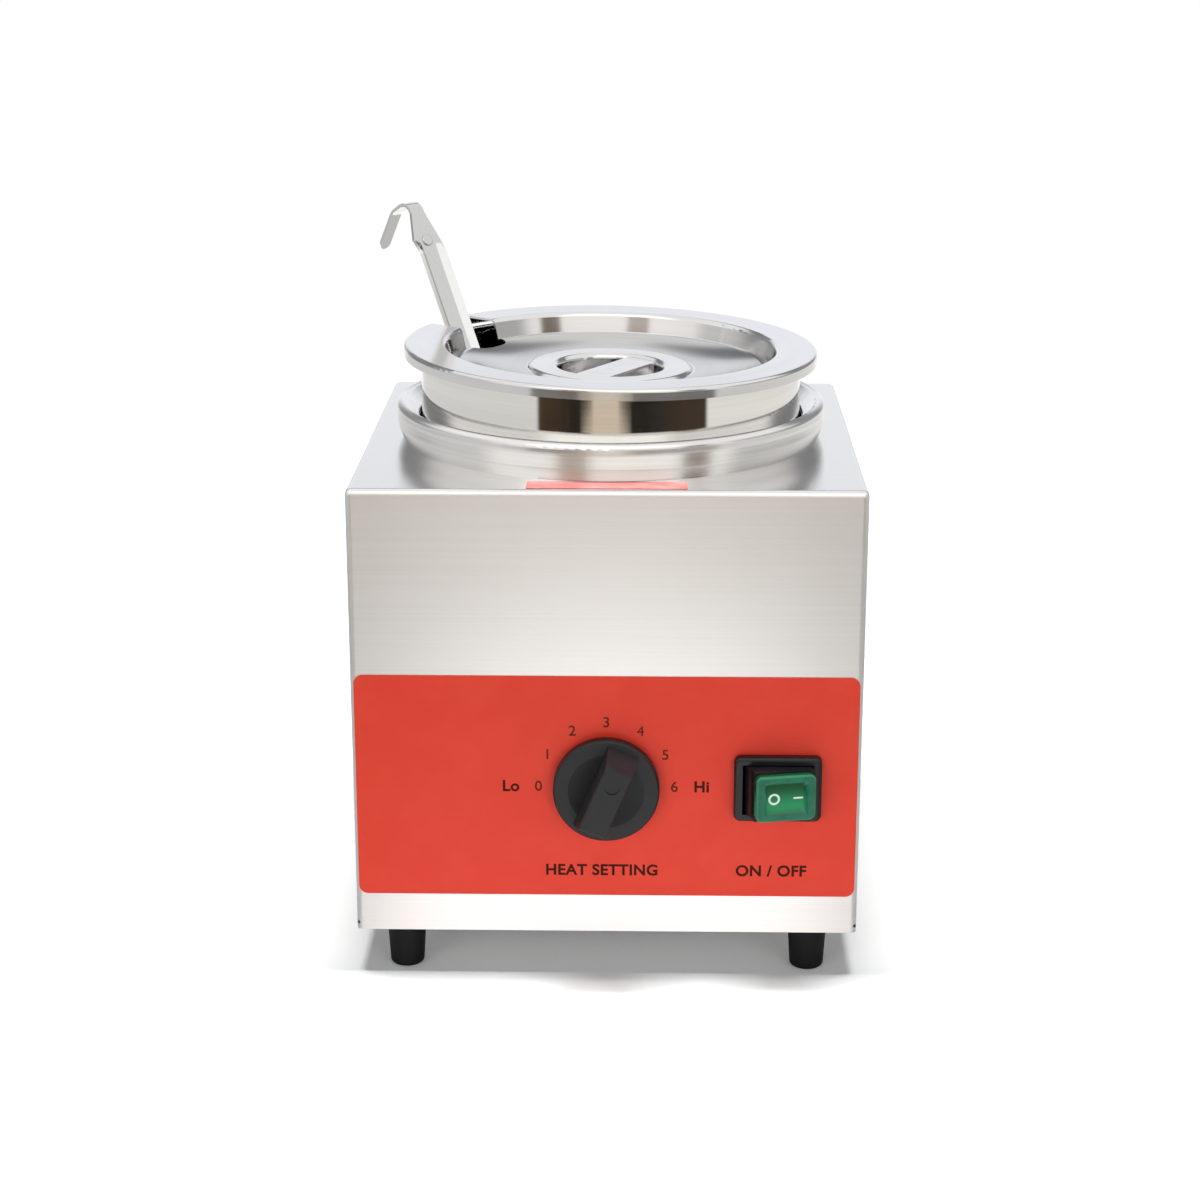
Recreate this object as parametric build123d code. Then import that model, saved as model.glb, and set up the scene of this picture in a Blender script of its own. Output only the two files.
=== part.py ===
from build123d import *
import os
from math import asin, atan2, cos, hypot, radians, sin, sqrt, tan

# A countertop warmer for hot toppings: a square folded case on rubber feet, a round heated well with
# a rolled collar, a lift-out pot with a notched lid, and a ladle that leans out through the notch.
# Millimetres. The origin is on the table under the middle of the case, +X right, +Y back, +Z up.

# Case ------------------------------------------------------------------------------------------------
CASE_W = 220.0
CASE_D = 220.0
CASE_H = 200.0
SHEET = 1.0
FOLD_R = 2.6
BASE_RETURN = 25.0
REAR_RETURN = 12.0
RELIEF_R = 0.8
RELIEF_H = 3.0
REAR_MARGIN = 0.8
VENT_W = 60.0
VENT_H = 4.0
VENT_PITCH = 11.0
VENT_COUNT = 5
VENT_X = 50.0
VENT_Z = 70.0
BASE_VENT_L = 70.0
BASE_VENT_W = 5.0
BASE_PLATE_T = 1.2
BASE_PLATE_GAP = 0.6

# Feet ------------------------------------------------------------------------------------------------
FOOT_H = 20.0
FOOT_TOP_R = 8.6
FOOT_BASE_R = 7.4
FOOT_EDGE_R = 2.0
FOOT_INSET_X = 21.0
FOOT_INSET_Y = 11.0
FOOT_BORE_DEPTH = 9.0

# Well and collar -------------------------------------------------------------------------------------
COLLAR_H = 16.9
COLLAR_SHEET = 1.2
COLLAR_WIDTH = 9.2
COLLAR_TUCK = 3.0
COLLAR_BULGE_H = 8.0
COLLAR_BULGE_BEND = 14.0
COLLAR_CROWN_R = 2.8
COLLAR_LIP_H = 11.0
COLLAR_LIP_GAP = 1.3
COLLAR_LIP_BEND = 1.4
COLLAR_SKIRT = 8.0
WELL_SHEET = 1.0
WELL_FLOOR_Z = 112.0
WELL_CORNER_R = 8.0
WELL_LEDGE_DROP = 12.0
WELL_TOP_RISE = 9.0
WELL_GAP = 2.0
POT_CLEARANCE = 1.1
WELD_GAP = 0.1

# Pot -------------------------------------------------------------------------------------------------
POT_SHEET = 1.0
POT_UPPER_R = 86.3
POT_LEDGE = 4.8
POT_FLOOR_GAP = 8.0
POT_CORNER_R = 12.0
POT_BEND_R = 1.8
RIM_RISE = 37.8
RIM_W = 4.2
RIM_ROLL = 2.5

# Lid -------------------------------------------------------------------------------------------------
LID_SHEET = 1.0
LID_GAP = 2.3
LID_BAND = 5.1
LID_RING_W = 18.8
LID_DROP = 8.6
LID_DRAFT = 2.6
LID_BEND_R = 1.6
LID_EDGE_R = 0.6
LID_GROOVE = 0.8
LID_GROOVE_W = 1.8
LID_GROOVE_R = 1.2
LID_DISH = 2.2
LID_CREASE_R = 0.8
LID_TILT = 1.4
LID_REST_GAP = 0.05
BOSS_R = 36.1
BOSS_STEP = 1.3
BOSS_BEVEL = 1.3
CRATER_R = 23.8
CRATER_DEPTH = 13.0
CRATER_CORNER_R = 3.5
STRAP_W = 15.7
STRAP_T = 1.2
STRAP_TAB = 7.0
STRAP_DROP = 1.0
STRAP_SHIFT = 3.5
STRAP_TURN = 59.0
NOTCH_W = 26.2
NOTCH_DEPTH = 12.5
NOTCH_CORNER_R = 10.0
NOTCH_TURN = 148.4

# Ladle -----------------------------------------------------------------------------------------------
LADLE_INSET = 2.5
LADLE_TURN = 151.4
LEAN_TURN = 135.0
LEAN = 28.0
HANDLE_T = 1.5
WEB_W = 9.1
FLANGE_W = 4.5
FLANGE_SPLAY = 40.0
HANDLE_BEND_R = 2.0
CHANNEL_TOP = 37.0
STRIP_START = 44.0
STRIP_SPLAY = 6.0
STRIP_W = 15.2
TAPER_START = 44.5
TAPER_END = 57.5
NECK_W = 7.8
HOOK_W = 5.8
HOOK_TOP = 63.1
HOOK_REACH = 13.5
HOOK_TIP_OUT = 31.5
HOOK_TIP_DROP = 11.2
HOOK_BEND_R = 5.0
HOOK_OUTER_R = 6.0
HOOK_TIP_R = 2.7
PIP_Z = 43.5
PIP_R = 2.8
PIP_H = 0.7
BOWL_R = 26.0
BOWL_SHEET = 1.2
BOWL_FLOOR_GAP = 0.3
HANDLE_TAIL = 9.0

# Control knob and thermostat -------------------------------------------------------------------------
CONTROL_Z = 88.0
LABEL_T = 0.4
KNOB_R = 23.0
KNOB_GAP = 0.6
KNOB_EDGE_H = 5.4
KNOB_DEPTH = 18.0
KNOB_DISH_R = 16.5
KNOB_DISH = 2.2
KNOB_CHAMFER = 0.8
KNOB_HOLLOW_R = 20.5
KNOB_HOLLOW = 2.8
KNOB_HUB_R = 6.5
GRIP_W = 12.4
GRIP_BASE_W = 14.6
GRIP_FRONT_TOP = 14.2
GRIP_FRONT_END = 16.0
GRIP_BASE_TOP = 20.6
GRIP_BASE_END = 20.0
GRIP_EDGE_R = 1.0
GRIP_PIP_R = 3.2
GRIP_PIP = 0.6
KNOB_TURN = 23.0
SHAFT_R = 3.0
SHAFT_CLEARANCE = 0.08
SHAFT_IN_KNOB = 13.0
SHAFT_IN_BODY = 16.0
SHAFT_HOLE_R = 5.5
THERMOSTAT_W = 34.0
THERMOSTAT_H = 36.0
THERMOSTAT_D = 24.0
THERMOSTAT_PITCH = 28.0

# Power switch ----------------------------------------------------------------------------------------
SWITCH_INSET = 36.0
SWITCH_Z = 88.5
BEZEL_W = 37.8
BEZEL_H = 29.5
BEZEL_T = 4.2
BEZEL_R = 3.0
BEZEL_EDGE_R = 1.6
ROCKER_R = 14.9
ROCKER_H = 22.0
ROCKER_GAP = 0.4
ROCKER_BACK = 4.0
ROCKER_BASE_D = 12.5
ROCKER_TILT = 11.0
PIVOT_DEPTH = 1.0
PIVOT_R = 1.2
PIVOT_L = 1.2
SWITCH_WALL = 1.5
SWITCH_POCKET = 14.0
SWITCH_BACK = 26.0
LENS_W = 26.3
LENS_H = 20.6
LENS_T = 3.8
LENS_R = 2.8
LENS_EDGE_R = 1.0
LENS_RIM_W = 3.6
LENS_RIM_H = 2.4
WINDOW_SLOPE_W = 1.5
WINDOW_SLOPE_H = 2.1
WINDOW_DEPTH = 2.0
BLADE_W = 6.3
BLADE_T = 0.8
BLADE_L = 8.0
BLADE_PITCH = 7.0

# Labels ----------------------------------------------------------------------------------------------
LABEL_MARGIN = 1.5
LABEL_H = 101.0
LABEL_R = 4.0
LABEL_Z = 37.3
STRIP_LABEL_W = 68.0
STRIP_LABEL_GAP = 0.4
STRIP_LABEL_R = 1.0
STRIP_LABEL_T = 0.3

# Heating ---------------------------------------------------------------------------------------------
ELEMENT_RING_R = 50.0
ELEMENT_R = 3.25
ELEMENT_LEG_X = 9.0
ELEMENT_LEG_Z = 78.0
CLAMP_R = 68.0
CLAMP_T = 2.0
STUD_CIRCLE_R = 30.0
STUD_R = 2.0
NUT_W = 7.0
NUT_H = 3.0
FLOOR_WOOL_T = 12.0
SHIELD_T = 1.0
WALL_WOOL_GAP = 8.4
WALL_WOOL_TOP_GAP = 14.0
CUTOUT_R = 8.0
CUTOUT_H = 9.0
CUTOUT_Y = -20.0
BULB_R = 3.0
BULB_L = 56.0
BULB_Y = 8.0
CAPILLARY_R = 1.0
CAPILLARY_BEND = 8.0
CAPILLARY_X = 42.0
HOLE_GAP = 1.5

# Rear fittings ---------------------------------------------------------------------------------------
GLAND_INSET = 40.0
GLAND_Z = 50.0
GLAND_BORE_R = 4.2
GLAND_THREAD_R = 7.6
GLAND_HEX = 19.0
GLAND_HEX_H = 5.0
GLAND_DOME_R = 8.6
GLAND_REACH = 19.0
GLAND_TAIL = 9.0
LOCKNUT_H = 4.0
TERMINAL_W = 42.0
TERMINAL_D = 20.0
TERMINAL_H = 17.0
TERMINAL_WALL = 1.5
TERMINAL_INSET_X = 55.0
TERMINAL_INSET_Y = 55.0
EARTH_PITCH = 45.0
EARTH_INSET_Y = 35.0
EARTH_L = 16.0

# Screws ----------------------------------------------------------------------------------------------
SCREW_R = 2.0
SCREW_GAP = 0.2
THREAD_GAP = 0.05
HEAD_R = 3.8
HEAD_H = 2.2
SCREW_L = 9.0

# Places worked out from the sizes above ----------------------------------------------------------------
FRONT_Y = -CASE_D / 2
BACK_Y = CASE_D / 2
DECK_Z = FOOT_H + CASE_H
PANEL_Y = FRONT_Y - LABEL_T
LEDGE_Z = DECK_Z - WELL_LEDGE_DROP
POT_LOWER_R = POT_UPPER_R - POT_LEDGE
WELL_R = POT_LOWER_R + WELL_GAP
WELL_UPPER_R = POT_UPPER_R + POT_CLEARANCE
COLLAR_BORE_R = WELL_UPPER_R + WELL_SHEET + WELD_GAP
COLLAR_BULGE_R = COLLAR_BORE_R + COLLAR_WIDTH
COLLAR_FOOT_R = COLLAR_BULGE_R - COLLAR_TUCK
COLLAR_LIP_R = POT_UPPER_R + COLLAR_LIP_GAP
DECK_HOLE_R = COLLAR_BORE_R + COLLAR_SHEET + SCREW_GAP
POT_FLOOR_Z = WELL_FLOOR_Z + WELL_SHEET + POT_FLOOR_GAP
RIM_TOP_Z = DECK_Z + RIM_RISE
RIM_R = POT_UPPER_R + RIM_W
LID_R = RIM_R + LID_GAP + LID_SHEET
LID_RING_INNER_R = LID_R - LID_RING_W
NOTCH_END_R = LID_RING_INNER_R - NOTCH_DEPTH
LID_SEAT_R = RIM_R - POT_SHEET - POT_BEND_R / 2
LID_Z = RIM_TOP_Z + LID_SEAT_R * sin(radians(LID_TILT)) + LID_REST_GAP
LID_TOP_Z = LID_Z + LID_SHEET
BOSS_FOOT = -LID_DROP - LID_DISH
BOSS_H = BOSS_FOOT + BOSS_STEP
BOSS_TOP = BOSS_H + LID_SHEET
CRATER_H = BOSS_H - CRATER_DEPTH
LADLE_R = POT_UPPER_R - LADLE_INSET
SWITCH_X = CASE_W / 2 - SWITCH_INSET
LABEL_W = CASE_W - 2 * LABEL_MARGIN
GLAND_X = -CASE_W / 2 + GLAND_INSET
TERMINAL_X = -CASE_W / 2 + TERMINAL_INSET_X
TERMINAL_Y = CASE_D / 2 - TERMINAL_INSET_Y
EARTH_X = TERMINAL_X + EARTH_PITCH
EARTH_Y = CASE_D / 2 - EARTH_INSET_Y
SWITCH_OPEN_W = 2 * (ROCKER_R + ROCKER_GAP)
SWITCH_OPEN_H = ROCKER_H + 2 * ROCKER_GAP
CLAMP_Z = WELL_FLOOR_Z - 2 * ELEMENT_R - CLAMP_T
WOOL_Z = CLAMP_Z - FLOOR_WOOL_T
SHIELD_Z = WOOL_Z - SHIELD_T
BASE_PLATE_Z = FOOT_H + SHEET
BASE_PLATE_TOP = BASE_PLATE_Z + BASE_PLATE_T
CLEAR_HOLE_R = SCREW_R + SCREW_GAP


def polar(radius, turn, height=0.0):
    """A point at a radius and an angle about the pot's axis."""
    return Vector(radius * cos(radians(turn)), radius * sin(radians(turn)), height)


FOOT_PLACES = {
    "foot_front_left": (-CASE_W / 2 + FOOT_INSET_X, FRONT_Y + FOOT_INSET_Y),
    "foot_front_right": (CASE_W / 2 - FOOT_INSET_X, FRONT_Y + FOOT_INSET_Y),
    "foot_back_left": (-CASE_W / 2 + FOOT_INSET_X, BACK_Y - FOOT_INSET_Y),
    "foot_back_right": (CASE_W / 2 - FOOT_INSET_X, BACK_Y - FOOT_INSET_Y),
}
STUD_COUNT = 4
STUD_PLACES = [polar(STUD_CIRCLE_R, (step + 0.5) * 360 / STUD_COUNT) for step in range(STUD_COUNT)]
REAR_SCREW_X = CASE_W / 2 - REAR_RETURN / 2
REAR_SCREW_PLACES = [
    (side * REAR_SCREW_X, FOOT_H + share * CASE_H) for side in (-1, 1) for share in (0.06, 0.5, 0.94)
]

# Frames: the front ones look out of the front panel, with their own Z towards the user.
KNOB_FRAME = Plane(origin=(0, PANEL_Y, CONTROL_Z), x_dir=(1, 0, 0), z_dir=(0, -1, 0))
SWITCH_FRAME = Plane(origin=(SWITCH_X, PANEL_Y, SWITCH_Z), x_dir=(1, 0, 0), z_dir=(0, -1, 0))
GLAND_FRAME = Plane(origin=(GLAND_X, BACK_Y, GLAND_Z), x_dir=(-1, 0, 0), z_dir=(0, 1, 0))
PIVOT_Y = FRONT_Y + PIVOT_DEPTH

# The lid rests on the far side of the pot's rim and is propped up at its notch. Its frame lies on the
# underside of its ring: X towards the notch, Z up the lid's own axis.
NOTCH_OUT = polar(1, NOTCH_TURN)
LID_FRAME = Plane(
    origin=(0, 0, LID_Z),
    x_dir=NOTCH_OUT * cos(radians(LID_TILT)) + Vector(0, 0, sin(radians(LID_TILT))),
    z_dir=NOTCH_OUT * -sin(radians(LID_TILT)) + Vector(0, 0, cos(radians(LID_TILT))),
)

# The ladle's frame stands on its stem where the stem passes the lid's top: Z up the stem, X outward.
LEAN_OUT = Vector(cos(radians(LEAN_TURN)), sin(radians(LEAN_TURN)), 0)
STEM_DIR = LEAN_OUT * sin(radians(LEAN)) + Vector(0, 0, cos(radians(LEAN)))
STEM_OUT = LEAN_OUT * cos(radians(LEAN)) - Vector(0, 0, sin(radians(LEAN)))
STEM_POINT = polar(LADLE_R, LADLE_TURN, LID_TOP_Z)
LADLE_FRAME = Plane(origin=STEM_POINT, x_dir=STEM_OUT, z_dir=STEM_DIR)
BOWL_OUT = -(BOWL_R + HANDLE_T / 2)
BOWL_CENTRE_Z = POT_FLOOR_Z + POT_SHEET + BOWL_R + BOWL_FLOOR_GAP
BOWL_DOWN = (BOWL_CENTRE_Z - LID_TOP_Z - BOWL_OUT * STEM_OUT.Z) / STEM_DIR.Z


def spun(points, bends, gauge):
    """Spun sheet: a line in (radius, height) with rounded bends, given its gauge and turned about Z."""
    line = FilletPolyline(*points, radius=bends)
    section = make_face(offset(line, gauge, side=Side.LEFT).edges())
    return revolve(Plane.XZ * section, Axis.Z)


def upright(radius, low, high):
    """A cylinder about the pot's axis between two heights."""
    return Pos(0, 0, low) * Cylinder(radius, high - low, align=(Align.CENTER, Align.CENTER, Align.MIN))


def peg(radius, length, start=0.0):
    """A cylinder along a frame's own Z."""
    return Pos(0, 0, start) * Cylinder(radius, length, align=(Align.CENTER, Align.CENTER, Align.MIN))


def block(low, high):
    """A box between its lowest and highest corners."""
    size = Vector(*high) - Vector(*low)
    return Pos(*((Vector(*low) + Vector(*high)) * 0.5)) * Box(size.X, size.Y, size.Z)


def hex_nut(width, height, bore_r):
    """A hexagon nut on the frame's XY plane, given across its flats."""
    return extrude(RegularPolygon(width / sqrt(3), 6), height) - peg(bore_r, height)


def pan_screw(length):
    """A pan-head screw: the head stands on the XY plane and the shank runs down."""
    head = fillet(peg(HEAD_R, HEAD_H).faces().sort_by(Axis.Z)[-1].edges(), HEAD_H * 0.45)
    return head + peg(SCREW_R, length, -length)


# Case ------------------------------------------------------------------------------------------------
def folded_block(low, high, radius):
    """A block with the case's folds: its front uprights and the front and sides of its top."""
    solid = block(low, high)
    uprights = solid.edges().filter_by(Axis.Z).group_by(Axis.Y)[0]
    top = solid.faces().sort_by(Axis.Z)[-1].edges()
    back = top.filter_by(Axis.X).sort_by(Axis.Y)[-1]
    return fillet(uprights + [edge for edge in top if edge is not back], radius)


def body_shell():
    half = CASE_W / 2
    rear = BACK_Y - SHEET
    shell = folded_block((-half, FRONT_Y, FOOT_H), (half, rear, DECK_Z), FOLD_R)
    shell -= folded_block(
        (-half + SHEET, FRONT_Y + SHEET, FOOT_H + SHEET),
        (half - SHEET, rear - SHEET, DECK_Z - SHEET),
        FOLD_R - SHEET,
    )
    shell -= block(
        (-half + BASE_RETURN, FRONT_Y + BASE_RETURN, FOOT_H - SHEET),
        (half - BASE_RETURN, rear - BASE_RETURN, FOOT_H + 2 * SHEET),
    )
    shell -= block(
        (-half + REAR_RETURN, rear - 2 * SHEET, FOOT_H + REAR_RETURN),
        (half - REAR_RETURN, rear + SHEET, DECK_Z - REAR_RETURN),
    )
    shell -= upright(DECK_HOLE_R, DECK_Z - 2 * SHEET, DECK_Z + SHEET)
    shell -= panel_cuts(2 * SHEET)
    for side in (-1, 1):
        corner = Plane(
            origin=(side * half, FRONT_Y, FOOT_H + RELIEF_H), x_dir=(0, 0, 1), z_dir=(side, -1, 0)
        )
        shell -= corner * peg(RELIEF_R, 4 * FOLD_R, -2 * FOLD_R)
    for x, y in FOOT_PLACES.values():
        shell -= Pos(x, y, FOOT_H) * peg(CLEAR_HOLE_R, 3 * SHEET, -SHEET)
    for x, z in REAR_SCREW_PLACES:
        shell -= Plane(origin=(x, rear, z), z_dir=(0, 1, 0)) * peg(CLEAR_HOLE_R, 4 * SHEET, -2 * SHEET)
    return shell


def panel_cuts(depth):
    """What passes through the front panel: the shaft, the thermostat's screws and the switch."""
    cuts = KNOB_FRAME * peg(SHAFT_HOLE_R, 2 * depth, -depth - LABEL_T)
    for side in (-1, 1):
        at = Pos(0, side * THERMOSTAT_PITCH / 2, -depth - LABEL_T)
        cuts += KNOB_FRAME * (at * peg(CLEAR_HOLE_R, 2 * depth))
    body = Box(
        SWITCH_OPEN_W + 2 * (SWITCH_WALL + SCREW_GAP),
        SWITCH_OPEN_H + 2 * (SWITCH_WALL + SCREW_GAP),
        4 * depth,
    )
    return cuts + SWITCH_FRAME * body


def rear_panel():
    half = CASE_W / 2 - REAR_MARGIN
    panel = block(
        (-half, BACK_Y - SHEET, FOOT_H + REAR_MARGIN),
        (half, BACK_Y, DECK_Z - REAR_MARGIN),
    )
    slot = extrude(SlotOverall(VENT_W, VENT_H), 2 * SHEET, both=True)
    rear = Plane(origin=(0, BACK_Y, FOOT_H + VENT_Z), x_dir=(-1, 0, 0), z_dir=(0, 1, 0))
    for side in (-1, 1):
        for row in range(VENT_COUNT):
            panel -= rear * (Pos(side * VENT_X, row * VENT_PITCH) * slot)
    panel -= GLAND_FRAME * peg(GLAND_THREAD_R + SCREW_GAP, 4 * SHEET, -2 * SHEET)
    for x, z in REAR_SCREW_PLACES:
        panel -= Plane(origin=(x, BACK_Y, z), z_dir=(0, 1, 0)) * peg(CLEAR_HOLE_R, 4 * SHEET, -2 * SHEET)
    return panel


def rear_screws():
    return [
        Plane(origin=(x, BACK_Y, z), z_dir=(0, 1, 0)) * pan_screw(SCREW_L) for x, z in REAR_SCREW_PLACES
    ]


def base_plate():
    half = CASE_W / 2 - SHEET - BASE_PLATE_GAP
    plate = block(
        (-half, FRONT_Y + SHEET + BASE_PLATE_GAP, BASE_PLATE_Z),
        (half, BACK_Y - 2 * SHEET - BASE_PLATE_GAP, BASE_PLATE_TOP),
    )
    slot = extrude(SlotOverall(BASE_VENT_L, BASE_VENT_W), 2 * BASE_PLATE_T, both=True)
    for row in (-1, 0, 1):
        plate -= Pos(0, row * 3 * BASE_VENT_W - CASE_D / 8, BASE_PLATE_Z) * slot
    for x, y in FOOT_PLACES.values():
        plate -= Pos(x, y, BASE_PLATE_Z) * peg(CLEAR_HOLE_R, 3 * BASE_PLATE_T, -BASE_PLATE_T)
    return plate


def foot(place):
    taper = FilletPolyline(
        (0, 0),
        (FOOT_BASE_R, 0),
        (FOOT_TOP_R, FOOT_H),
        (0, FOOT_H),
        radius=[FOOT_EDGE_R, 0.0],
    )
    section = make_face(taper.edges() + Line((0, FOOT_H), (0, 0)).edges())
    rubber = revolve(Plane.XZ * section, Axis.Z)
    rubber -= peg(HEAD_R + SCREW_GAP, FOOT_BORE_DEPTH)
    rubber -= peg(CLEAR_HOLE_R, FOOT_H)
    return Pos(*place) * rubber


def foot_screws():
    head_z = FOOT_BORE_DEPTH
    length = BASE_PLATE_TOP + NUT_H - head_z + SHEET
    screw = Rot(180, 0, 0) * pan_screw(length)
    return [Pos(x, y, head_z) * screw for x, y in FOOT_PLACES.values()]


def foot_nuts():
    nut = hex_nut(NUT_W, NUT_H, SCREW_R + THREAD_GAP)
    return [Pos(x, y, BASE_PLATE_TOP) * nut for x, y in FOOT_PLACES.values()]


# Collar, well, pot and lid -----------------------------------------------------------------------------
def collar_ring():
    """Rolled sheet: up from the deck, over a tight crown, then down a slope to the lip round the pot."""
    run = COLLAR_BULGE_R - COLLAR_CROWN_R - COLLAR_LIP_R
    rise = COLLAR_H - COLLAR_CROWN_R - COLLAR_LIP_H
    slope = atan2(rise, run) + asin(COLLAR_CROWN_R / hypot(run, rise))
    corner_h = COLLAR_LIP_H + (COLLAR_BULGE_R - COLLAR_LIP_R) * tan(slope)
    ring = spun(
        [
            (COLLAR_FOOT_R, 0),
            (COLLAR_BULGE_R, COLLAR_BULGE_H),
            (COLLAR_BULGE_R, corner_h),
            (COLLAR_LIP_R, COLLAR_LIP_H),
            (COLLAR_LIP_R, WELL_TOP_RISE + WELD_GAP),
        ],
        [COLLAR_BULGE_BEND, COLLAR_CROWN_R, COLLAR_LIP_BEND],
        COLLAR_SHEET,
    )
    skirt = upright(COLLAR_BORE_R + COLLAR_SHEET, -COLLAR_SKIRT, COLLAR_LIP_H)
    skirt -= upright(COLLAR_BORE_R, -COLLAR_SKIRT, COLLAR_LIP_H)
    return Pos(0, 0, DECK_Z) * (ring + skirt)


def well_pan():
    wall = WELL_R + WELL_SHEET
    upper = WELL_UPPER_R + WELL_SHEET
    ledge = LEDGE_Z - WELL_SHEET
    return spun(
        [
            (0, WELL_FLOOR_Z),
            (wall, WELL_FLOOR_Z),
            (wall, ledge),
            (upper, ledge),
            (upper, DECK_Z + WELL_TOP_RISE),
        ],
        [WELL_CORNER_R, POT_BEND_R / 2, POT_BEND_R],
        WELL_SHEET,
    )


def pot():
    roll_r = RIM_R - POT_SHEET
    top = RIM_TOP_Z - POT_SHEET
    return spun(
        [
            (0, POT_FLOOR_Z),
            (POT_LOWER_R, POT_FLOOR_Z),
            (POT_LOWER_R, LEDGE_Z),
            (POT_UPPER_R, LEDGE_Z),
            (POT_UPPER_R, top),
            (roll_r, top),
            (roll_r, RIM_TOP_Z - RIM_ROLL),
        ],
        [POT_CORNER_R, POT_BEND_R / 2, POT_BEND_R, POT_BEND_R, POT_BEND_R / 2],
        POT_SHEET,
    )


def lid():
    crater = CRATER_R + LID_SHEET
    wall_low = LID_RING_INNER_R - LID_DRAFT + LID_SHEET
    wall_high = LID_RING_INNER_R + LID_SHEET
    shell = spun(
        [
            (0, CRATER_H),
            (crater, CRATER_H),
            (crater, BOSS_H),
            (BOSS_R, BOSS_H),
            (BOSS_R + BOSS_BEVEL, BOSS_FOOT),
            (wall_low - LID_GROOVE_W - LID_SHEET, -LID_DROP),
            (wall_low, -LID_DROP - LID_GROOVE),
            (wall_high, 0),
            (LID_R - LID_SHEET, 0),
            (LID_R - LID_SHEET, LID_SHEET - LID_BAND),
        ],
        [
            CRATER_CORNER_R,
            LID_BEND_R,
            LID_BEND_R,
            LID_CREASE_R,
            LID_BEND_R,
            LID_GROOVE_R,
            LID_BEND_R,
            LID_EDGE_R,
        ],
        LID_SHEET,
    )
    length = LID_R + NOTCH_W - NOTCH_END_R
    cut = Pos(NOTCH_END_R + length / 2, 0, 0) * Box(length, NOTCH_W, 4 * LID_DROP)
    inner = cut.edges().filter_by(Axis.Z).group_by(Axis.X)[0]
    return LID_FRAME * (shell - fillet(inner, NOTCH_CORNER_R))


def lid_strap():
    """A bar across the recess, a little below the boss's top, with a tab down the wall at each end."""
    top = BOSS_TOP - STRAP_DROP
    bar = Pos(0, -STRAP_SHIFT, top - STRAP_T / 2) * Box(2 * CRATER_R, STRAP_W, STRAP_T)
    tabs = Pos(0, -STRAP_SHIFT, top - STRAP_TAB / 2) * Box(2 * CRATER_R, STRAP_W, STRAP_TAB)
    tabs -= upright(CRATER_R - STRAP_T, top - 2 * STRAP_TAB, top + STRAP_T)
    strap = (bar + tabs) & upright(CRATER_R, top - 2 * STRAP_TAB, top + STRAP_T)
    return LID_FRAME * (Rot(0, 0, STRAP_TURN - NOTCH_TURN) * strap)


# Ladle -----------------------------------------------------------------------------------------------
def channel_section(flange, splay):
    """The handle's section: a flat web with two flanges splayed towards the pot's axis."""
    edge = WEB_W / 2 + flange * cos(radians(splay))
    fold = -flange * sin(radians(splay))
    half = HANDLE_T / 2
    line = FilletPolyline(
        (fold + half, -edge), (half, -WEB_W / 2), (half, WEB_W / 2), (fold + half, edge), radius=HANDLE_BEND_R
    )
    return make_face(offset(line, HANDLE_T, side=Side.LEFT).edges())


def fade_section(flange, splay):
    """The same section with sharp folds, for the stretch where the flanges flatten out."""
    turn = radians(splay)
    half = HANDLE_T / 2
    tip_x = half - flange * sin(turn)
    tip_y = WEB_W / 2 + flange * cos(turn)
    back_x = tip_x - HANDLE_T * cos(turn)
    back_y = tip_y - HANDLE_T * sin(turn)
    fold_y = WEB_W / 2 - HANDLE_T * tan(turn / 2)
    side = [(half, WEB_W / 2), (tip_x, tip_y), (back_x, back_y), (-half, fold_y)]
    other = [(x, -y) for x, y in reversed(side)]
    return make_face(Polyline(*side, *other, close=True).edges())


def hook_strip():
    """The flat strip above the channel, bent over into the hook, with its taper and its round tip."""
    half = HANDLE_T / 2
    path = FilletPolyline(
        (half, STRIP_START),
        (half, HOOK_TOP),
        (HOOK_REACH, HOOK_TOP),
        (HOOK_TIP_OUT, HOOK_TOP - HOOK_TIP_DROP),
        radius=[HOOK_BEND_R, HOOK_OUTER_R],
    )
    profile = make_face(offset(path, HANDLE_T, side=Side.LEFT).edges())
    bar = extrude(Plane.XZ * profile, STRIP_W / 2, both=True)
    neck = Polyline(
        (-STRIP_W / 2, STRIP_START - HANDLE_T),
        (STRIP_W / 2, STRIP_START - HANDLE_T),
        (STRIP_W / 2, TAPER_START),
        (NECK_W / 2, TAPER_END),
        (-NECK_W / 2, TAPER_END),
        (-STRIP_W / 2, TAPER_START),
        close=True,
    )
    stem = bar & extrude(Plane.YZ * make_face(neck.edges()), 2 * HANDLE_T, both=True)
    reach = Polyline(
        (-2 * HANDLE_T, -NECK_W / 2),
        (2 * HANDLE_T, -NECK_W / 2),
        (HOOK_REACH, -HOOK_W / 2),
        (HOOK_TIP_OUT, -HOOK_W / 2),
        (HOOK_TIP_OUT, HOOK_W / 2),
        (HOOK_REACH, HOOK_W / 2),
        (2 * HANDLE_T, NECK_W / 2),
        (-2 * HANDLE_T, NECK_W / 2),
        close=True,
    )
    plan = make_face(reach.edges())
    plan = fillet(plan.vertices().group_by(Axis.X)[-1], HOOK_TIP_R)
    hook = bar & extrude(Pos(0, 0, TAPER_END) * plan, HOOK_TOP)
    beyond = Pos(HOOK_REACH / 2 + HOOK_TIP_OUT, 0) * Rectangle(2 * HOOK_TIP_OUT, STRIP_W)
    tip = bar & extrude(plan & beyond, TAPER_END)
    return stem + hook + tip


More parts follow.
